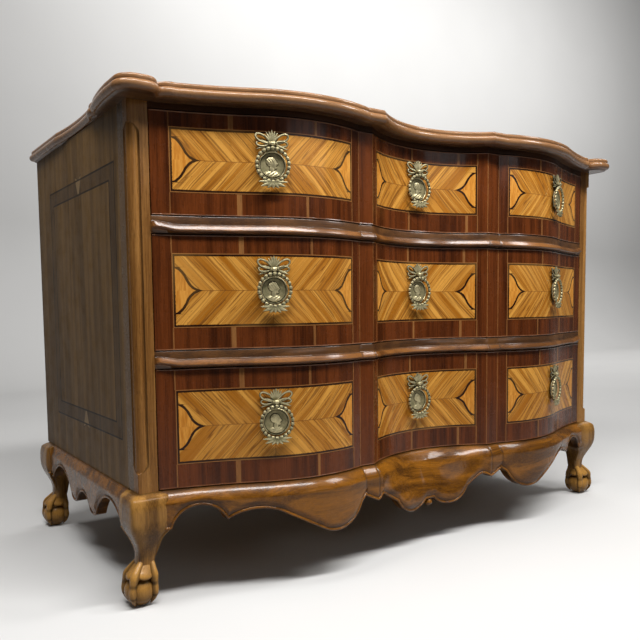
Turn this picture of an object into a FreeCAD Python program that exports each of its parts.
"""A commode: three serpentine drawers over a shaped apron, on cabriole legs with claw-and-ball feet.

Millimetres, +Z up. X runs across the front, which faces -Y. The origin is on the floor under the
middle of the top board.
"""
import FreeCAD, Part
import math
import os
import Sketcher

V = FreeCAD.Vector

SIZES = {
    # the case
    "case_width": 1230,
    "case_front": 247.5,
    "case_back": 355.5,
    "side_thickness": 22,
    "stile_width": 35,
    "stile_depth": 47,
    "post_depth": 35,
    "back_thickness": 12,
    "back_inset": 3,
    "bottom_thickness": 12,
    # heights of the front, from the floor up
    "base_height": 195,
    "front_gap": 1.5,
    "lower_front_height": 206.5,
    "middle_front_height": 195,
    "upper_front_height": 171.5,
    "rail_height": 29,
    "rail_depth": 87,
    "rail_nose": 9,
    "rail_round": 8,
    "top_rail_height": 10,
    "base_rail_height": 30,
    # the serpentine plan of the drawer fronts: hollow middle, flat facets, round flanks, hollow ends
    "centre_swell": 12,
    "facet_width": 34,
    "facet_set_back": 18,
    "flank_inset": 288,
    "flank_swell": 84,
    "flank_radius": 275,
    "end_radius": 830,
    # the top board
    "top_thickness": 27,
    "top_overhang": 32,
    "top_side_overhang": 14,
    "top_back_overhang": 8,
    "top_round": 9,
    "top_under_round": 5,
    "ear_front": 53,
    "ear_side": 17,
    "ear_corner": 34,
    "ear_width": 76,
    "ear_flat": 14,
    "ear_front_angle": 73,
    "ear_length": 140,
    "ear_side_flat": 75,
    "ear_nick": 9,
    "ear_flank_angle": 32,
    "side_hollow_angle": 10,
    "side_tail": 40,
    "brow_width": 25,
    "brow_angle": 66,
    "nick_depth": 31,
    # stiles with a stopped reed on the outer corner
    "reed_radius": 10.5,
    "reed_quirk": 2,
    "reed_fillet": 14,
    "reed_foot": 22,
    "reed_head": 34,
    # drawer boxes
    "front_depth": 26,
    "front_wall": 26,
    "hollow_floor": 12,
    "box_side_thickness": 12,
    "box_back_thickness": 12,
    "box_bottom_thickness": 9,
    "box_side_drop": 12,
    "box_back_drop": 25,
    "side_play": 2,
    "back_play": 15,
    "run_clearance": 0.5,
    # runners
    "runner_width": 35,
    "runner_height": 16,
    "guide_height": 30,
    # front apron
    "apron_reach": 18,
    "apron_thickness": 24,
    "apron_round": 10,
    "arch_foot_depth": 65,
    "arch_span": 94,
    "arch_angle": 141,
    "cusp_depth": 57,
    "shoulder_span": 102,
    "shoulder_angle": 66,
    "shoulder_depth": 57,
    "lobe_outer": 13,
    "lobe_inner": 84,
    "lobe_angle": 94,
    "lobe_depth": 92,
    "lobe_end_depth": 63,
    "lobe_tail": 68,
    "flank_foot_depth": 45,
    "facet_foot_depth": 60,
    "hump_place": 140,
    "drop_place": 98,
    "drop_depth": 89,
    "drop_angle": 113,
    "bud_place": 12,
    "bud_depth": 102,
    "bud_angle": 159,
    # side aprons and back base rail
    "side_apron_reach": 12,
    "side_apron_thickness": 24,
    "side_foot_span": 10,
    "side_foot_depth": 70,
    "side_arch_angle": 112,
    "side_drop_place": 80,
    "side_drop_depth": 83,
    "side_drop_angle": 71,
    "side_middle_place": 45,
    "side_middle_angle": 120,
    "back_rail_height": 55,
    "back_rail_thickness": 24,
    # legs
    "leg_block": 64,
    "leg_proud": 15,
    "knee_depth": 45,
    "knee_width": 68,
    "knee_lean": 3,
    "shin_width": 46,
    "shin_lean": 1,
    "ankle_height": 78,
    "ankle_width": 34,
    "ankle_lean": -1,
    "foot_height": 48,
    "foot_width": 40,
    "ball_radius": 33,
    "ball_lean": 7,
    "ball_flat_angle": 75,
    "claw_radius": 5.5,
    "claw_drop_angle": 42,
    "claw_sweep_angle": 100,
    # brass drop handles
    "handle_offset": 93,
    "lower_handle_height": 108,
    "middle_handle_height": 101,
    "upper_handle_height": 87,
    "spot_radius": 9,
    "spot_depth": 1,
    "boss_radius": 8,
    "stand_off": 3,
    "plate_radius": 24,
    "plate_thickness": 2.5,
    "medallion_radius": 21,
    "medallion_rise": 1.2,
    "strap_width": 20,
    "strap_foot": 15,
    "strap_over": 22,
    "bow_lift": 11,
    "bow_spread": 18.5,
    "bow_step": 7.5,
    "loop_radius": 7.2,
    "loop_wire": 2.2,
    "ring_radius": 26,
    "ring_wire": 4,
    "ring_clearance": 0.3,
    "pin_radius": 1.5,
    "pin_play": 0.05,
    "knuckle_radius": 3.5,
    "knuckle_length": 8.4,
    "knuckle_play": 0.3,
    "lug_thickness": 3.5,
    "neck_length": 10,
    "neck_width": 6,
    "neck_thickness": 4,
    "leaf_length": 9,
    "leaf_root": 3.5,
    "leaf_tip": 1,
    "leaf_spread": 35,
    "stud_radius": 3,
    "stud_play": 0.2,
    "nut_radius": 6,
    "nut_height": 5,
    "nut_relief": 0.1,
    "stud_end": 2,
}

doc = FreeCAD.newDocument("Commode")
sheet = doc.addObject("Spreadsheet::Sheet", "Sizes")
for row, (name, number) in enumerate(SIZES.items(), start=1):
    sheet.set(f"A{row}", name)
    sheet.set(f"B{row}", str(number))
    sheet.setAlias(f"B{row}", name)
doc.recompute()

# places that several pieces share, as expressions
HALF = "(Sizes.case_width / 2)"
OPEN = f"({HALF} - Sizes.stile_width)"
FRONT = "(-Sizes.case_front)"
BACK = "Sizes.case_back"
SIDE_IN = f"({HALF} - Sizes.side_thickness)"
RAIL_BACK = f"({FRONT} + Sizes.rail_depth)"
BOARD_BACK = f"({BACK} - Sizes.back_inset)"
BOARD_FRONT = f"({BOARD_BACK} - Sizes.back_thickness)"
FRONT_BACK = f"({FRONT} + Sizes.front_depth)"
BOX_OUT = f"({OPEN} - Sizes.side_play)"
BOX_IN = f"({BOX_OUT} - Sizes.box_side_thickness)"
BOX_END = f"({BOARD_FRONT} - Sizes.back_play)"
LEG_OUT = f"({HALF} + Sizes.leg_proud)"
LEG_IN = f"({LEG_OUT} - Sizes.leg_block)"
LEG_FRONT = f"({FRONT} - Sizes.leg_proud)"
LEG_FRONT_IN = f"({LEG_FRONT} + Sizes.leg_block)"
LEG_BACK_IN = f"({BACK} - Sizes.leg_block)"
RUNNER_IN = f"({OPEN} - Sizes.runner_width)"
BACK_RAIL_IN = f"({BACK} - Sizes.back_rail_thickness)"

BASE = "Sizes.base_height"
LOWER = f"({BASE} + Sizes.front_gap)"
LOWER_RAIL = f"({LOWER} + Sizes.lower_front_height + Sizes.front_gap)"
MIDDLE = f"({LOWER_RAIL} + Sizes.rail_height + Sizes.front_gap)"
UPPER_RAIL = f"({MIDDLE} + Sizes.middle_front_height + Sizes.front_gap)"
UPPER = f"({UPPER_RAIL} + Sizes.rail_height + Sizes.front_gap)"
TOP_RAIL = f"({UPPER} + Sizes.upper_front_height + Sizes.front_gap)"
CASE_TOP = f"({TOP_RAIL} + Sizes.top_rail_height)"

FLANK_PEAK = f"({OPEN} - Sizes.flank_inset)"
FACET_SWELL = "(Sizes.flank_swell - Sizes.facet_set_back)"
HOLLOW_DEPTH = f"({FACET_SWELL} - Sizes.centre_swell)"
FACET_REACH = "sqrt(Sizes.flank_radius^2 - (Sizes.flank_radius - Sizes.facet_set_back)^2)"
HOLLOW_HALF = f"({FLANK_PEAK} - {FACET_REACH} - Sizes.facet_width)"
CENTRE_RADIUS = f"(({HOLLOW_HALF}^2 + {HOLLOW_DEPTH}^2) / (2 * {HOLLOW_DEPTH}))"
HANDLE_X = f"({FLANK_PEAK} + Sizes.handle_offset)"
HANDLE_TURN = "asin(Sizes.handle_offset / Sizes.flank_radius)"
RING_STAND = ("(Sizes.stand_off + Sizes.plate_thickness + Sizes.medallion_rise"
              " + Sizes.ring_clearance + Sizes.ring_wire)")
PIVOT = "(Sizes.ring_radius + Sizes.neck_length)"
LUG_IN = "(Sizes.knuckle_length / 2 + Sizes.knuckle_play)"
LUG_OUT = f"({LUG_IN} + Sizes.lug_thickness)"
FLANK_CENTRE = "(-Sizes.case_front - Sizes.flank_swell + Sizes.flank_radius)"

nodes = {}


def value(expression):
    """The number that an expression of the sheet comes to."""
    result = sheet.evalExpression(expression)
    return float(getattr(result, "Value", result))


def keep(label, piece):
    """Name a finished piece, so that it is written to its own file."""
    piece.Label = label
    nodes[label] = piece
    return piece


def place(piece, x="0", y="0", z="0", turn=None, axis=V(0, 0, 1)):
    """Move a piece to x, y, z and turn it about an axis, the vertical if none is given, by expressions."""
    if turn is not None:
        piece.Placement = FreeCAD.Placement(V(0, 0, 0), FreeCAD.Rotation(axis, 1))
        piece.setExpression("Placement.Rotation.Angle", turn)
    for letter, expression in zip("xyz", (x, y, z)):
        piece.setExpression(f"Placement.Base.{letter}", expression)


def solid(kind, name, **sizes):
    """A primitive solid with its sizes bound to expressions."""
    piece = doc.addObject(f"Part::{kind}", name)
    for key, expression in sizes.items():
        piece.setExpression(key, expression)
    return piece


def board(name, low, high):
    """A rectangular board between two opposite corners, each three expressions."""
    piece = doc.addObject("Part::Box", name)
    for size, axis, near, far in zip(("Length", "Width", "Height"), "xyz", low, high):
        piece.setExpression(size, f"{far} - ({near})")
        piece.setExpression(f"Placement.Base.{axis}", near)
    return piece


def rod(name, radius, near, far, axis, x="0", y="0", z="0"):
    """A round rod along the X or Y axis, from near to far along it."""
    piece = solid("Cylinder", name, Radius=radius, Height=f"{far} - ({near})")
    if axis == "X":
        piece.Placement = FreeCAD.Placement(V(0, 0, 0), FreeCAD.Rotation(V(0, 1, 0), 90))
        place(piece, near, y, z)
    else:
        piece.Placement = FreeCAD.Placement(V(0, 0, 0), FreeCAD.Rotation(V(1, 0, 0), -90))
        place(piece, x, near, z)
    return piece


def joined(name, pieces):
    """Several solids as one."""
    piece = doc.addObject("Part::MultiFuse", name)
    piece.Shapes = pieces
    return piece


def without(name, base, tool):
    """A solid with another taken away."""
    piece = doc.addObject("Part::Cut", name)
    piece.Base = base
    piece.Tool = tool
    return piece


def group(name, pieces):
    """Separate like solids kept together."""
    piece = doc.addObject("Part::Compound", name)
    piece.Links = pieces
    return piece


def sketch_on(body, name, role, lift="0"):
    """A sketch on one of the body's own planes, lifted along the plane's normal."""
    sketch = body.newObject("Sketcher::SketchObject", name)
    plane = next(feature for feature in body.Origin.OriginFeatures if feature.Role == role)
    sketch.AttachmentSupport = [(plane, "")]
    sketch.MapMode = "FlatFace"
    sketch.setExpression("AttachmentOffset.Base.z", lift)
    return sketch


def bind(sketch, name, expression, kind, *geometry):
    """A constraint whose size is an expression."""
    constraint = Sketcher.Constraint(kind, *geometry, value(expression))
    sketch.renameConstraint(sketch.addConstraint(constraint), name)
    sketch.setExpression(f"Constraints.{name}", expression)


def pin_point(sketch, name, geometry, end, x=None, y=None):
    """Hold one end of an edge at x, at y or at both."""
    if x is not None:
        bind(sketch, f"{name}_x", x, "DistanceX", geometry, end)
    if y is not None:
        bind(sketch, f"{name}_y", y, "DistanceY", geometry, end)


def meet(sketch, first, second):
    """Join the end of one edge to the end of another."""
    sketch.addConstraint(Sketcher.Constraint("Coincident", *first, *second))


def add_arc(sketch, centre, start, end):
    """An arc run anticlockwise from start to end about centre."""
    radius = (start - centre).Length
    angles = [math.atan2(point.y - centre.y, point.x - centre.x) for point in (start, end)]
    circle = Part.Circle(centre, V(0, 0, 1), radius)
    return sketch.addGeometry(Part.ArcOfCircle(circle, *angles), False)


def bent_edge(sketch, tag, start, end, angle):
    """An anticlockwise arc from start to end that turns through an angle in degrees."""
    half = (end - start) * 0.5
    bend = math.radians(value(angle))
    left = V(-half.y, half.x, 0)
    arc = add_arc(sketch, start + half + left * (1 / math.tan(bend / 2)), start, end)
    sketch.renameConstraint(sketch.addConstraint(Sketcher.Constraint("Angle", arc, bend)), f"{tag}_angle")
    sketch.setExpression(f"Constraints.{tag}_angle", f"{angle} * 1 deg")
    return arc


def run(sketch, tag, corners, closed=True):
    """Edges through corners (x, y) or (x, y, angle, turn): the last two bend the edge that follows
    into an arc of that many degrees, anticlockwise with turn 1 and clockwise with turn -1. Returns
    the two free ends."""
    points = [V(value(corner[0]), value(corner[1]), 0) for corner in corners]
    edges = []
    count = len(corners) if closed else len(corners) - 1
    for index in range(count):
        corner = corners[index]
        start, end = points[index], points[(index + 1) % len(points)]
        if len(corner) == 2:
            edges.append((sketch.addGeometry(Part.LineSegment(start, end), False), 1, 2))
            continue
        angle, turn = corner[2:]
        if turn > 0:
            edges.append((bent_edge(sketch, f"{tag}{index}", start, end, angle), 1, 2))
        else:
            edges.append((bent_edge(sketch, f"{tag}{index}", end, start, angle), 2, 1))
    for index, (edge, head, tail) in enumerate(edges):
        pin_point(sketch, f"{tag}{index}", edge, head, corners[index][0], corners[index][1])
        if index + 1 < len(edges):
            meet(sketch, (edge, tail), edges[index + 1][:2])
    last_edge, _, last_tail = edges[-1]
    if closed:
        meet(sketch, (last_edge, last_tail), edges[0][:2])
    else:
        pin_point(sketch, f"{tag}{count}", last_edge, last_tail, corners[-1][0], corners[-1][1])
    return edges[0][:2], (last_edge, last_tail)


def both_halves(right_half):
    """The corners of a right half, then their mirror images back to the start."""
    bends = [corner[2:] for corner in right_half]
    left_half = [(f"(-{corner[0]})", corner[1]) + bend
                 for corner, bend in zip(right_half[::-1], bends[-2::-1] + [()])]
    return right_half + left_half


def centre_curve(sketch, tag, forward):
    """The hollow middle of the front and the facets beside it, standing forward of the drawer fronts.
    Returns the left and right ends."""
    step = value(forward)
    facet_y = -value(f"Sizes.case_front + {FACET_SWELL} + {forward}")
    centre_y = f"-(Sizes.case_front + Sizes.centre_swell + {CENTRE_RADIUS})"
    centre = V(0, value(centre_y), 0)
    radius = value(CENTRE_RADIUS) - step
    inner = math.sqrt(radius ** 2 - (facet_y - centre.y) ** 2)
    flank_y = value(FLANK_CENTRE)
    outer = value(FLANK_PEAK) - math.sqrt(
        (value("Sizes.flank_radius") + step) ** 2 - (facet_y - flank_y) ** 2)
    hollow = add_arc(sketch, centre, V(inner, facet_y, 0), V(-inner, facet_y, 0))
    bind(sketch, f"{tag}_radius", f"{CENTRE_RADIUS} - ({forward})", "Radius", hollow)
    pin_point(sketch, f"{tag}_centre", hollow, 3, "0", centre_y)
    ends = []
    for side, word, hollow_end in ((-1, "left", 2), (1, "right", 1)):
        line = Part.LineSegment(V(side * inner, facet_y, 0), V(side * outer, facet_y, 0))
        facet = sketch.addGeometry(line, False)
        sketch.addConstraint(Sketcher.Constraint("Horizontal", facet))
        pin_point(sketch, f"{tag}_{word}", facet, 1,
                  y=f"-(Sizes.case_front + {FACET_SWELL} + {forward})")
        meet(sketch, (facet, 1), (hollow, hollow_end))
        ends.append((facet, 2))
    return ends


def flank_curve(sketch, tag, side, forward, end, alone=True):
    """A round flank and the hollow that runs on to the stile, on the right with side 1 and on the left
    with side -1. A flank that stands alone starts where the facet would end. Returns its inner and
    outer ends."""
    step = value(forward)
    flank = V(side * value(FLANK_PEAK), value(FLANK_CENTRE), 0)
    near, far = value("Sizes.flank_radius"), value("Sizes.end_radius")
    corner = V(side * value(OPEN), value(FRONT), 0)
    across = corner - flank
    along = ((near + far) ** 2 - far ** 2 + across.Length ** 2) / (2 * across.Length)
    rise = math.sqrt((near + far) ** 2 - along ** 2)
    unit = across * (1 / across.Length)
    hollow_centre = flank + unit * along + V(side * unit.y, -side * unit.x, 0) * rise
    toward = (hollow_centre - flank) * (1 / (near + far))
    joint = flank + toward * (near + step)
    facet_y = -value(f"Sizes.case_front + {FACET_SWELL} + {forward}")
    start_x = flank.x - side * math.sqrt((near + step) ** 2 - (facet_y - flank.y) ** 2)
    start = V(start_x, facet_y, 0)
    end_x = side * value(end)
    stop = V(end_x, hollow_centre.y + math.sqrt((far - step) ** 2 - (end_x - hollow_centre.x) ** 2), 0)
    if side > 0:
        round_arc, round_in, round_out = add_arc(sketch, flank, start, joint), 1, 2
        hollow_arc, hollow_in, hollow_out = add_arc(sketch, hollow_centre, stop, joint), 2, 1
    else:
        round_arc, round_in, round_out = add_arc(sketch, flank, joint, start), 2, 1
        hollow_arc, hollow_in, hollow_out = add_arc(sketch, hollow_centre, joint, stop), 1, 2
    sign = "" if side > 0 else "-"
    corner_point = sketch.addGeometry(Part.Point(corner), True)
    pin_point(sketch, f"{tag}_corner", corner_point, 1, f"{sign}{OPEN}", FRONT)
    pin_point(sketch, f"{tag}_flank", round_arc, 3, f"{sign}{FLANK_PEAK}", FLANK_CENTRE)
    bind(sketch, f"{tag}_flank_radius", f"Sizes.flank_radius + ({forward})", "Radius", round_arc)
    bind(sketch, f"{tag}_end_radius", f"Sizes.end_radius - ({forward})", "Radius", hollow_arc)
    bind(sketch, f"{tag}_reach", "Sizes.end_radius", "Distance", corner_point, 1, hollow_arc, 3)
    sketch.addConstraint(
        Sketcher.Constraint("Tangent", round_arc, round_out, hollow_arc, hollow_in))
    pin_point(sketch, f"{tag}_end", hollow_arc, hollow_out, x=f"{sign}{end}")
    if alone:
        pin_point(sketch, f"{tag}_start", round_arc, round_in,
                  y=f"-(Sizes.case_front + {FACET_SWELL} + {forward})")
    return (round_arc, round_in), (hollow_arc, hollow_out)


def front_curve(sketch, tag, forward, end):
    """The whole serpentine front, from x = -end to x = end. Returns the left and right ends."""
    middle = centre_curve(sketch, f"{tag}_middle", forward)
    ends = []
    for side, word, facet in ((-1, "left", middle[0]), (1, "right", middle[1])):
        inner, outer = flank_curve(sketch, f"{tag}_{word}", side, forward, end, alone=False)
        meet(sketch, inner, facet)
        ends.append(outer)
    return ends


def point_of(sketch, end):
    """Where an edge's end is now."""
    return sketch.getPoint(*end)


def close_straight(sketch, tag, left, right, back):
    """Close a front curve with two straight ends and a straight back at y = back."""
    left_point, right_point = point_of(sketch, left), point_of(sketch, right)
    depth = value(back)
    corners = [left_point, V(left_point.x, depth, 0), V(right_point.x, depth, 0), right_point]
    lines = [sketch.addGeometry(Part.LineSegment(a, b), False)
             for a, b in zip(corners, corners[1:])]
    meet(sketch, left, (lines[0], 1))
    meet(sketch, (lines[0], 2), (lines[1], 1))
    meet(sketch, (lines[1], 2), (lines[2], 1))
    meet(sketch, (lines[2], 2), right)
    sketch.addConstraint(Sketcher.Constraint("Vertical", lines[0]))
    sketch.addConstraint(Sketcher.Constraint("Vertical", lines[2]))
    sketch.addConstraint(Sketcher.Constraint("Horizontal", lines[1]))
    pin_point(sketch, f"{tag}_back", lines[1], 1, y=back)


def join_ends(sketch, first, second):
    """A straight edge between two free ends."""
    line = Part.LineSegment(point_of(sketch, first), point_of(sketch, second))
    edge = sketch.addGeometry(line, False)
    meet(sketch, first, (edge, 1))
    meet(sketch, (edge, 2), second)


def pad(body, sketch, length):
    """The sketch's outline made solid."""
    feature = body.newObject("PartDesign::Pad", f"{body.Name}_pad")
    feature.Profile = sketch
    feature.setExpression("Length", length)
    doc.recompute()
    return feature


def pocket(body, sketch, length, backwards=False):
    """The sketch's outline cut away, to a depth. The cut has to take some wood."""
    before = body.Shape.Volume
    feature = body.newObject("PartDesign::Pocket", f"{sketch.Name}_cut")
    feature.Profile = sketch
    feature.Reversed = backwards
    feature.setExpression("Length", length)
    doc.recompute()
    if body.Shape.Volume > before - 1:
        raise RuntimeError(f"{feature.Name} takes nothing away")
    return feature


def round_edges(body, feature, radius, wanted):
    """Round the edges of a feature that a test picks."""
    names = [f"Edge{index}" for index, edge in enumerate(feature.Shape.Edges, start=1) if wanted(edge)]
    fillet = body.newObject("PartDesign::Fillet", f"{feature.Name}_round")
    fillet.Base = (feature, names)
    fillet.setExpression("Radius", radius)
    doc.recompute()
    return fillet


def level_at(height):
    """A test for edges that lie flat at a height."""
    return lambda edge: max(abs(edge.BoundBox.ZMin - height), abs(edge.BoundBox.ZMax - height)) < 1e-4


def new_body(name):
    """An empty body for one piece."""
    return doc.addObject("PartDesign::Body", name)


def top_board():
    """The top: it follows the fronts with an overhang, has an eared lobe beyond each stile, and its sides
    are a little hollow between the lobes and their straight tails."""
    body = new_body("top_board")
    sketch = sketch_on(body, "top_outline", "XY_Plane", CASE_TOP)
    side = f"({HALF} + Sizes.top_side_overhang)"
    ear = f"({side} + Sizes.ear_side)"
    nick = f"({ear} - Sizes.ear_width)"
    ear_y = f"({FRONT} - Sizes.ear_front)"
    ear_end = f"({ear_y} + Sizes.ear_length)"
    corner_end = f"({ear_y} + Sizes.ear_corner)"
    back = f"({BACK} + Sizes.top_back_overhang)"
    right_half = [
        (nick, f"({FRONT} - Sizes.nick_depth)", "Sizes.ear_front_angle", 1),
        (f"({ear} - Sizes.ear_corner - Sizes.ear_flat)", ear_y),
        (f"({ear} - Sizes.ear_corner)", ear_y, "90", 1),
        (ear, corner_end),
        (ear, f"({corner_end} + Sizes.ear_side_flat)", "Sizes.ear_flank_angle", 1),
        (f"({ear} - Sizes.ear_nick)", ear_end, "Sizes.side_hollow_angle", -1),
        (side, f"({back} - Sizes.side_tail)"),
        (side, back),
    ]
    left, right = front_curve(sketch, "front", "Sizes.top_overhang", f"({nick} - Sizes.brow_width)")
    start, stop = run(sketch, "ear", both_halves(right_half), closed=False)
    for word, near, far in (("right", right, start), ("left", stop, left)):
        brow = bent_edge(sketch, f"brow_{word}", point_of(sketch, near), point_of(sketch, far),
                         "Sizes.brow_angle")
        meet(sketch, near, (brow, 1))
        meet(sketch, (brow, 2), far)
    slab = pad(body, sketch, "Sizes.top_thickness")
    rear = value(back)

    def moulded(height):
        at_height = level_at(height)
        return lambda edge: at_height(edge) and edge.BoundBox.YMin < rear - 1

    over = round_edges(body, slab, "min(Sizes.top_round; Sizes.top_thickness / 2)",
                       moulded(value(f"{CASE_TOP} + Sizes.top_thickness")))
    round_edges(body, over, "min(Sizes.top_under_round; Sizes.top_thickness / 3)", moulded(value(CASE_TOP)))
    keep("top_board", body)


def case_boards():
    """Side panels, rear posts, back boards and bottom board."""
    stile_back = f"({FRONT} + Sizes.stile_depth)"
    post_front = f"({BACK} - Sizes.post_depth)"
    for word, near, far in (("left", f"(-{HALF})", f"(-{SIDE_IN})"), ("right", SIDE_IN, HALF)):
        keep(f"side_panel_{word}",
             board(f"side_panel_{word}", (near, stile_back, BASE), (far, post_front, CASE_TOP)))
    for word, near, far in (("left", f"(-{HALF})", f"(-{OPEN})"), ("right", OPEN, HALF)):
        keep(f"rear_post_{word}",
             board(f"rear_post_{word}", (near, post_front, BASE), (far, BACK, CASE_TOP)))
    width = f"(2 * {OPEN} / 3)"
    boards = [board(f"back_board_{index}", (f"{index} * {width} - {OPEN}", BOARD_FRONT, BASE),
                    (f"{index + 1} * {width} - {OPEN}", BOARD_BACK, CASE_TOP)) for index in range(3)]
    keep("back_boards", group("back_boards", boards))
    keep("bottom_board",
         board("bottom_board", (f"(-{RUNNER_IN})", RAIL_BACK, f"({BASE} - Sizes.bottom_thickness)"),
               (RUNNER_IN, BACK_RAIL_IN, BASE)))


def stile(word, side):
    """A front corner post: its outer corner is a round reed between a plain foot and head."""
    sign = "" if side > 0 else "-"
    body = new_body(f"stile_{word}")
    outer, inner = f"{sign}{HALF}", f"{sign}{OPEN}"
    sketch = sketch_on(body, f"stile_{word}_plan", "XY_Plane", BASE)
    run(sketch, "post", [(inner, FRONT), (outer, FRONT), (outer, f"({FRONT} + Sizes.stile_depth)"),
                         (inner, f"({FRONT} + Sizes.stile_depth)")])
    pad(body, sketch, f"{CASE_TOP} - {BASE}")
    cut = sketch_on(body, f"stile_{word}_reed", "XY_Plane", f"{BASE} + Sizes.reed_foot")
    quirk_x = f"{sign}({HALF} - Sizes.reed_quirk)"
    quirk_y = f"({FRONT} + Sizes.reed_quirk)"
    reed_x = f"{sign}({HALF} - Sizes.reed_quirk - Sizes.reed_radius)"
    reed_y = f"({FRONT} + Sizes.reed_quirk + Sizes.reed_radius)"
    fillet_x = f"{sign}({OPEN} + Sizes.reed_fillet)"
    fillet_y = f"({FRONT} + Sizes.stile_width - Sizes.reed_fillet)"
    run(cut, "reed", [(fillet_x, FRONT), (outer, FRONT), (outer, fillet_y), (quirk_x, fillet_y),
                      (quirk_x, reed_y, "90", -side), (reed_x, quirk_y),
                      (fillet_x, quirk_y)])
    pocket(body, cut, f"{CASE_TOP} - {BASE} - Sizes.reed_foot - Sizes.reed_head", backwards=True)
    keep(f"stile_{word}", body)


def front_edge(height):
    """A test for edges at a height that run along the front of the case."""
    at_height, front = level_at(height), value(FRONT)
    return lambda edge: at_height(edge) and edge.BoundBox.YMax < front


def rail(name, low, height, forward, end, rounding=None):
    """A rail with a serpentine front edge, between the stiles or the legs."""
    body = new_body(name)
    sketch = sketch_on(body, f"{name}_plan", "XY_Plane", low)
    left, right = front_curve(sketch, "front", forward, end)
    close_straight(sketch, "rail", left, right, RAIL_BACK)
    plank = pad(body, sketch, height)
    if rounding:
        upper = round_edges(body, plank, rounding, front_edge(value(f"{low} + {height}")))
        round_edges(body, upper, rounding, front_edge(value(low)))
    keep(name, body)


def runners(name, top):
    """A pair of drawer runners: each is a ledge under the drawer's side with a guide beside it."""
    pair = []
    rest = f"({top} - Sizes.run_clearance)"
    for word, sign in (("left", "-"), ("right", "")):
        body = new_body(f"{name}_{word}")
        sketch = sketch_on(body, f"{name}_{word}_section", "XZ_Plane", f"-{LEG_BACK_IN}")
        run(sketch, "runner", [
            (f"{sign}{RUNNER_IN}", f"({rest} - Sizes.runner_height)"),
            (f"{sign}{SIDE_IN}", f"({rest} - Sizes.runner_height)"),
            (f"{sign}{SIDE_IN}", f"({rest} + Sizes.guide_height)"),
            (f"{sign}{OPEN}", f"({rest} + Sizes.guide_height)"),
            (f"{sign}{OPEN}", rest), (f"{sign}{RUNNER_IN}", rest)])
        pad(body, sketch, f"{LEG_BACK_IN} - ({RAIL_BACK})")
        pair.append(body)
    keep(name, group(f"{name}_pair", pair))


def below(depth):
    """A height that is a named depth under the case."""
    return f"({BASE} - Sizes.{depth})"


def apron(name, add_plan, corners):
    """A curved plank as tall as the base, round on the upper front edge and cut to an outline below."""
    body = new_body(name)
    plan = sketch_on(body, f"{name}_plan", "XY_Plane")
    outer_edges = add_plan(plan)
    plank = pad(body, plan, BASE)
    lines = [plan.Geometry[edge].toShape() for edge in outer_edges]
    at_height = level_at(value(BASE))

    def shoulder(edge):
        middle = edge.valueAt((edge.FirstParameter + edge.LastParameter) / 2)
        on_plan = Part.Vertex(middle.x, middle.y, 0)
        return at_height(edge) and min(line.distToShape(on_plan)[0] for line in lines) < 1e-4

    round_edges(body, plank, "min(Sizes.apron_round; Sizes.apron_thickness / 2)", shoulder)
    cut = sketch_on(body, f"{name}_scallop", "XZ_Plane")
    run(cut, "scallop", corners)
    pocket(body, cut, "Sizes.case_front + Sizes.flank_swell + 2 * Sizes.apron_reach", backwards=True)
    keep(name, body)


def front_aprons():
    """Three planks along the foot of the front, scalloped along the lower edge."""
    outer = "Sizes.apron_reach"
    inner = "(Sizes.apron_reach - Sizes.apron_thickness)"
    for word, side, sign in (("left", -1, "-"), ("right", 1, "")):

        def flank_plan(sketch):
            near_in, near_out = flank_curve(sketch, "outer", side, outer, LEG_IN)
            far_in, far_out = flank_curve(sketch, "inner", side, inner, LEG_IN)
            join_ends(sketch, near_in, far_in)
            join_ends(sketch, near_out, far_out)
            return near_in[0], near_out[0]

        cusp = f"({LEG_IN} - Sizes.arch_span)"
        lobe_end = f"({FLANK_PEAK} - Sizes.lobe_inner)"
        hump = f"({lobe_end} - Sizes.lobe_tail)"
        apron(f"apron_{word}", flank_plan, [
            (f"{sign}{LEG_IN}", "0"),
            (f"{sign}{LEG_IN}", below("arch_foot_depth"), "Sizes.arch_angle", side),
            (f"{sign}{cusp}", below("cusp_depth"), "Sizes.shoulder_angle", side),
            (f"{sign}({cusp} - Sizes.shoulder_span)", below("shoulder_depth")),
            (f"{sign}({FLANK_PEAK} + Sizes.lobe_outer)", below("lobe_depth"), "Sizes.lobe_angle", -side),
            (f"{sign}{lobe_end}", below("lobe_end_depth")),
            (f"{sign}{hump}", below("flank_foot_depth")),
            (f"{sign}{hump}", "0")])

    def centre_plan(sketch):
        ends = {}
        for edge_word, forward in (("outer", outer), ("inner", inner)):
            ends[edge_word] = centre_curve(sketch, edge_word, forward)
            reach = (f"sqrt((Sizes.flank_radius + {forward})^2"
                     f" - (Sizes.flank_radius - Sizes.facet_set_back + {forward})^2)")
            for word, sign, end in zip(("left", "right"), ("-", ""), ends[edge_word]):
                pin_point(sketch, f"{edge_word}_{word}_end", *end, x=f"{sign}({FLANK_PEAK} - {reach})")
        for near, far in zip(ends["outer"], ends["inner"]):
            join_ends(sketch, near, far)
        # the outer hollow is the first edge drawn
        return [0] + [edge for edge, _ in ends["outer"]]

    right_half = [
        (FLANK_PEAK, "0"), (FLANK_PEAK, below("facet_foot_depth")),
        ("Sizes.hump_place", below("facet_foot_depth")),
        ("Sizes.drop_place", below("drop_depth"), "Sizes.drop_angle", -1),
        ("Sizes.bud_place", below("bud_depth"), "Sizes.bud_angle", -1)]
    apron("apron_centre", centre_plan, both_halves(right_half))


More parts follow.
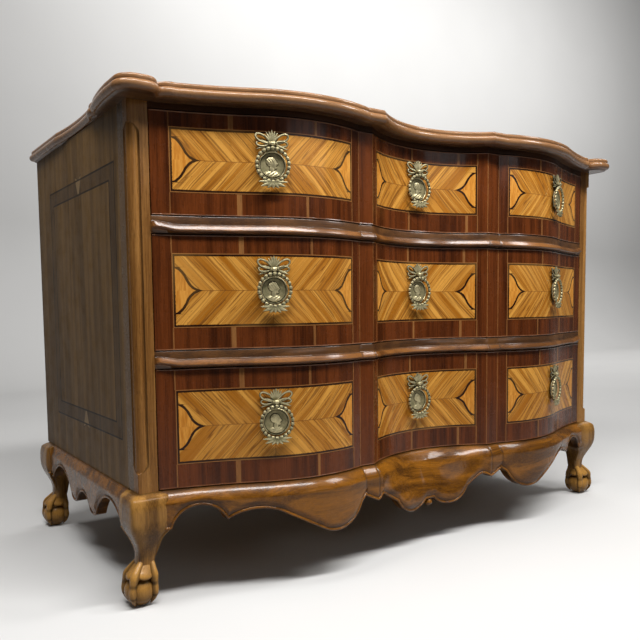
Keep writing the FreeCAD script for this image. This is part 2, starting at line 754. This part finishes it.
def side_aprons():
    """A scalloped plank between the legs on each side, and a plain rail between the rear legs."""
    middle = f"(({LEG_FRONT_IN} + {LEG_BACK_IN}) / 2)"

    def beyond(offset):
        return f"({middle} + {offset})"

    def before(offset):
        return f"({middle} - {offset})"

    for word, face in (("left", f"-({HALF} + Sizes.side_apron_reach)"),
                       ("right", f"{HALF} + Sizes.side_apron_reach - Sizes.side_apron_thickness")):
        body = new_body(f"side_apron_{word}")
        sketch = sketch_on(body, f"side_apron_{word}_outline", "YZ_Plane", face)
        foot, drop = below("side_foot_depth"), below("side_drop_depth")
        run(sketch, "side", [
            (LEG_BACK_IN, BASE), (LEG_FRONT_IN, BASE), (LEG_FRONT_IN, foot),
            (f"({LEG_FRONT_IN} + Sizes.side_foot_span)", foot, "Sizes.side_arch_angle", -1),
            (before("Sizes.side_drop_place"), drop, "Sizes.side_drop_angle", 1),
            (before("Sizes.side_middle_place"), drop, "Sizes.side_middle_angle", -1),
            (beyond("Sizes.side_middle_place"), drop, "Sizes.side_drop_angle", 1),
            (beyond("Sizes.side_drop_place"), drop, "Sizes.side_arch_angle", -1),
            (f"({LEG_BACK_IN} - Sizes.side_foot_span)", foot),
            (LEG_BACK_IN, foot)])
        pad(body, sketch, "Sizes.side_apron_thickness")
        keep(f"side_apron_{word}", body)
    keep("back_base_rail",
         board("back_base_rail", (f"(-{LEG_IN})", BACK_RAIL_IN, f"({BASE} - Sizes.back_rail_height)"),
               (LEG_IN, BACK, BASE)))


def leg(name, x, y, turn):
    """A cabriole leg that leans out along its corner, with a claw-and-ball foot. It is drawn for the
    corner towards +X and +Y, with the middle of its block at the origin, and turned into place."""
    body = new_body(f"{name}_shaft")
    knee_height = below("knee_depth")
    shin_height = f"(({knee_height} + Sizes.ankle_height) / 2)"
    levels = [(BASE, "Sizes.leg_block", "0"), (knee_height, "Sizes.knee_width", "Sizes.knee_lean"),
              (shin_height, "Sizes.shin_width", "Sizes.shin_lean"),
              ("Sizes.ankle_height", "Sizes.ankle_width", "Sizes.ankle_lean"),
              ("Sizes.foot_height", "Sizes.foot_width", "Sizes.ball_lean")]
    sections = []
    for index, (height, width, lean) in enumerate(levels):
        sketch = sketch_on(body, f"{name}_section_{index}", "XY_Plane", height)
        near, far = f"({lean} - {width} / 2)", f"({lean} + {width} / 2)"
        run(sketch, "square", [(near, near), (far, near), (far, far), (near, far)])
        sections.append(sketch)
    loft = body.newObject("PartDesign::AdditiveLoft", f"{name}_loft")
    loft.Profile = sections[0]
    loft.Sections = sections[1:]
    inside = "(-Sizes.leg_block / 2)"
    corner = board(f"{name}_corner", (inside, inside, "0"), ("Sizes.leg_block", "Sizes.leg_block", BASE))
    shaft = doc.addObject("Part::Common", f"{name}_trimmed")
    shaft.Base, shaft.Tool = body, corner
    ball = solid("Sphere", f"{name}_ball", Radius="Sizes.ball_radius", Angle1="-Sizes.ball_flat_angle")
    centre_z = "(Sizes.ball_radius * sin(Sizes.ball_flat_angle))"
    place(ball, "Sizes.ball_lean", "Sizes.ball_lean", centre_z)
    pieces = [shaft, ball]
    upright = FreeCAD.Rotation(V(1, 0, 0), 90)
    start = FreeCAD.Rotation(V(0, 0, 1), -value("Sizes.claw_drop_angle"))
    for index in range(4):
        claw = solid("Torus", f"{name}_claw_{index}", Radius1="Sizes.ball_radius",
                     Radius2="Sizes.claw_radius", Angle3="Sizes.claw_sweep_angle")
        around = FreeCAD.Rotation(V(0, 0, 1), 45 + 90 * index)
        claw.Placement = FreeCAD.Placement(V(0, 0, 0), around * upright * start)
        place(claw, "Sizes.ball_lean", "Sizes.ball_lean", centre_z)
        pieces.append(claw)
    whole = joined(f"{name}_whole", pieces)
    place(whole, x, y, "0", turn)
    keep(name, whole)


def handle_columns():
    """The three columns of handles: name, x, y and turn on the serpentine front."""
    flank_y = f"({FLANK_CENTRE} - sqrt(Sizes.flank_radius^2 - Sizes.handle_offset^2))"
    return [("left", f"-{HANDLE_X}", flank_y, f"-{HANDLE_TURN}", "Sizes.front_wall"),
            ("centre", "0", f"({FRONT} - Sizes.centre_swell)", "0",
             "(Sizes.centre_swell + Sizes.front_depth)"),
            ("right", HANDLE_X, flank_y, HANDLE_TURN, "Sizes.front_wall")]


def handle_hole(name, wall):
    """The hole for a handle's stud, with a flat seat for its boss."""
    stud = rod(f"{name}_bore", "Sizes.stud_radius + Sizes.stud_play", "-Sizes.spot_radius",
               f"({wall} + Sizes.spot_radius)", "Y")
    seat = rod(f"{name}_seat", "Sizes.spot_radius", "-Sizes.spot_radius", "Sizes.spot_depth", "Y")
    return joined(f"{name}_tool", [stud, seat])


def handle_plate(name, wall):
    """A cast plate: a round medallion under a ribbon bow, lugs for the ring's pin and a stud behind."""
    face = "(-Sizes.stand_off - Sizes.plate_thickness)"
    lug_y = f"(-{RING_STAND} - Sizes.knuckle_radius)"
    disc = rod(f"{name}_disc", "Sizes.plate_radius", face, "-Sizes.stand_off", "Y")
    boss = rod(f"{name}_boss", "Sizes.boss_radius", "-Sizes.stand_off", "Sizes.spot_depth", "Y")
    stud = rod(f"{name}_stud", "Sizes.stud_radius", "-Sizes.stand_off",
               f"({wall} + Sizes.nut_relief + Sizes.nut_height + Sizes.stud_end)", "Y")
    medal = solid("Cone", f"{name}_medal", Radius1="Sizes.medallion_radius",
                  Radius2="Sizes.medallion_radius - Sizes.medallion_rise", Height="Sizes.medallion_rise")
    medal.Placement = FreeCAD.Placement(V(0, 0, 0), FreeCAD.Rotation(V(1, 0, 0), 90))
    place(medal, "0", face, "0")
    strap = board(f"{name}_strap", ("-Sizes.strap_width / 2", face, "Sizes.strap_foot"),
                  ("Sizes.strap_width / 2", "(-Sizes.stand_off)", f"({PIVOT} + Sizes.strap_over)"))
    pieces = [disc, boss, stud, medal, strap]
    for word, near, far in (("left", f"(-{LUG_OUT})", f"(-{LUG_IN})"), ("right", LUG_IN, LUG_OUT)):
        pieces.append(board(f"{name}_lug_{word}",
                            (near, lug_y, f"({PIVOT} - Sizes.knuckle_radius)"),
                            (far, "(-Sizes.stand_off)", f"({PIVOT} + Sizes.knuckle_radius)")))
    for index, (across, up) in enumerate(((-1, -1), (1, -1), (-1, 1), (1, 1))):
        loop = solid("Torus", f"{name}_loop_{index}", Radius1="Sizes.loop_radius", Radius2="Sizes.loop_wire")
        loop.Placement = FreeCAD.Placement(V(0, 0, 0), FreeCAD.Rotation(V(1, 0, 0), 90))
        place(loop, f"{across} * Sizes.bow_spread", "-Sizes.stand_off - Sizes.plate_thickness / 2",
              f"{PIVOT} + Sizes.bow_lift + {up} * Sizes.bow_step")
        pieces.append(loop)
    bore = rod(f"{name}_pin_bore", "Sizes.pin_radius", f"(-{LUG_OUT})", LUG_OUT, "X",
               y=f"-{RING_STAND}", z=PIVOT)
    return without(f"{name}_casting", joined(f"{name}_blank", pieces), bore)


def handle_ring(name):
    """A drop ring: a round wire with a knuckle for the pin above and a spray of leaves below."""
    y = f"-{RING_STAND}"
    wire = solid("Torus", f"{name}_wire", Radius1="Sizes.ring_radius", Radius2="Sizes.ring_wire")
    wire.Placement = FreeCAD.Placement(V(0, 0, 0), FreeCAD.Rotation(V(1, 0, 0), 90))
    place(wire, "0", y, "0")
    neck = board(f"{name}_neck",
                 ("-Sizes.neck_width / 2", f"({y} - Sizes.neck_thickness / 2)", "Sizes.ring_radius"),
                 ("Sizes.neck_width / 2", f"({y} + Sizes.neck_thickness / 2)", PIVOT))
    knuckle = rod(f"{name}_knuckle", "Sizes.knuckle_radius", "-Sizes.knuckle_length / 2",
                  "Sizes.knuckle_length / 2", "X", y=y, z=PIVOT)
    pieces = [wire, neck, knuckle]
    for index in (-1, 0, 1):
        leaf = solid("Cone", f"{name}_leaf_{index + 1}", Radius1="Sizes.leaf_root", Radius2="Sizes.leaf_tip",
                     Height="Sizes.leaf_length")
        place(leaf, f"{index} * Sizes.leaf_root", y, "-Sizes.ring_radius - Sizes.ring_wire / 2",
              f"180 - {index} * Sizes.leaf_spread", V(0, 1, 0))
        pieces.append(leaf)
    bore = rod(f"{name}_bore", "Sizes.pin_radius + Sizes.pin_play", "-Sizes.knuckle_length",
               "Sizes.knuckle_length", "X", y=y, z=PIVOT)
    return without(f"{name}_drop", joined(f"{name}_blank", pieces), bore)


def drawer(word, low, height, handle_height):
    """A drawer: a serpentine front hollowed behind its flanks, on a plain box, with three handles."""
    body = new_body(f"{word}_front_blank")
    end = f"({OPEN} - Sizes.front_gap)"
    sketch = sketch_on(body, f"{word}_front_plan", "XY_Plane", low)
    left, right = front_curve(sketch, "front", "0", end)
    close_straight(sketch, "front", left, right, FRONT_BACK)
    pad(body, sketch, height)
    hollow = sketch_on(body, f"{word}_hollows", "XY_Plane", f"{low} + Sizes.hollow_floor")
    radius = "(Sizes.flank_radius - Sizes.front_wall)"
    reach = f"sqrt({radius}^2 - ({FRONT_BACK} - {FLANK_CENTRE})^2)"
    bend = f"(2 * asin({reach} / {radius}) / 1 deg)"
    for side_word, side, sign in (("left", -1, "-"), ("right", 1, "")):
        inner, outer = f"{sign}({FLANK_PEAK} - {reach})", f"{sign}({FLANK_PEAK} + {reach})"
        run(hollow, f"hollow_{side_word}", [(inner, FRONT_BACK, bend, side), (outer, FRONT_BACK)])
    pocket(body, hollow, height, backwards=True)
    handle_z = f"{low} + {handle_height}"
    holes, plates, pins, nuts = [], [], [], []
    for column, x, y, turn, wall in handle_columns():
        tag = f"{word}_{column}"
        hole = handle_hole(f"{tag}_hole", wall)
        plate = handle_plate(f"{tag}_plate", wall)
        pin_rod = rod(f"{tag}_pin_rod", "Sizes.pin_radius", f"(-{LUG_OUT})", LUG_OUT,
                      "X", y=f"-{RING_STAND}", z=PIVOT)
        pin = group(f"{tag}_pin", [pin_rod])
        nut_start = f"({wall} + Sizes.nut_relief)"
        nut_end = f"({nut_start} + Sizes.nut_height)"
        nut = without(f"{tag}_nut", rod(f"{tag}_nut_body", "Sizes.nut_radius", nut_start, nut_end, "Y"),
                      rod(f"{tag}_nut_bore", "Sizes.stud_radius", nut_start, nut_end, "Y"))
        ring = handle_ring(f"{tag}_ring")
        for piece in (hole, plate, pin, nut, ring):
            place(piece, x, y, handle_z, turn)
        holes.append(hole)
        plates.append(plate)
        pins.append(pin)
        nuts.append(nut)
        keep(f"{word}_ring_{column}", ring)
    keep(f"{word}_front", without(f"{word}_front_drilled", body, joined(f"{word}_holes", holes)))
    keep(f"{word}_handle_plates", group(f"{word}_plate_group", plates))
    keep(f"{word}_pivot_pins", group(f"{word}_pin_group", pins))
    keep(f"{word}_handle_nuts", group(f"{word}_nut_group", nuts))
    floor = f"({low} + Sizes.box_bottom_thickness)"
    for side_word, near, far in (("left", f"(-{BOX_OUT})", f"(-{BOX_IN})"), ("right", BOX_IN, BOX_OUT)):
        keep(f"{word}_side_{side_word}",
             board(f"{word}_side_{side_word}", (near, FRONT_BACK, floor),
                   (far, BOX_END, f"({low} + {height} - Sizes.box_side_drop)")))
    keep(f"{word}_back",
         board(f"{word}_back", (f"(-{BOX_IN})", f"({BOX_END} - Sizes.box_back_thickness)", floor),
               (BOX_IN, BOX_END, f"({low} + {height} - Sizes.box_back_drop)")))
    keep(f"{word}_bottom",
         board(f"{word}_bottom", (f"(-{BOX_OUT})", FRONT_BACK, low), (BOX_OUT, BOX_END, floor)))


def write_parts():
    """Check every object, then write each named piece to its own file."""
    doc.recompute()
    for piece in doc.Objects:
        if {"Invalid", "Error"} & set(piece.State):
            raise RuntimeError(f"{piece.Name} failed: {piece.State}")
    for label, piece in nodes.items():
        if piece.Shape.isNull() or not piece.Shape.isValid() or not piece.Shape.Solids:
            raise RuntimeError(f"{label} has no valid solid")
    os.makedirs("parts", exist_ok=True)
    for label, piece in nodes.items():
        piece.Shape.exportStep(f"parts/{label}.step")
    print(len(nodes), "pieces written")


top_board()
case_boards()
stile("left", -1)
stile("right", 1)
NOSE_ROUND = "min(Sizes.rail_round; Sizes.rail_height / 2.5)"
rail("top_rail", TOP_RAIL, "Sizes.top_rail_height", "0", OPEN)
rail("upper_rail", UPPER_RAIL, "Sizes.rail_height", "Sizes.rail_nose", OPEN, NOSE_ROUND)
rail("lower_rail", LOWER_RAIL, "Sizes.rail_height", "Sizes.rail_nose", OPEN, NOSE_ROUND)
rail("base_rail", f"({BASE} - Sizes.base_rail_height)", "Sizes.base_rail_height",
     "(Sizes.apron_reach - Sizes.apron_thickness)", LEG_IN)
runners("upper_runners", UPPER)
runners("middle_runners", MIDDLE)
runners("lower_runners", LOWER)
front_aprons()
side_aprons()
LEG_MIDDLE = f"({LEG_OUT} - Sizes.leg_block / 2)"
FRONT_LEG = f"({LEG_FRONT} + Sizes.leg_block / 2)"
BACK_LEG = f"({BACK} - Sizes.leg_block / 2)"
leg("leg_rear_right", LEG_MIDDLE, BACK_LEG, "0")
leg("leg_rear_left", f"-{LEG_MIDDLE}", BACK_LEG, "90")
leg("leg_front_left", f"-{LEG_MIDDLE}", FRONT_LEG, "180")
leg("leg_front_right", LEG_MIDDLE, FRONT_LEG, "270")
drawer("lower", LOWER, "Sizes.lower_front_height", "Sizes.lower_handle_height")
drawer("middle", MIDDLE, "Sizes.middle_front_height", "Sizes.middle_handle_height")
drawer("upper", UPPER, "Sizes.upper_front_height", "Sizes.upper_handle_height")
write_parts()
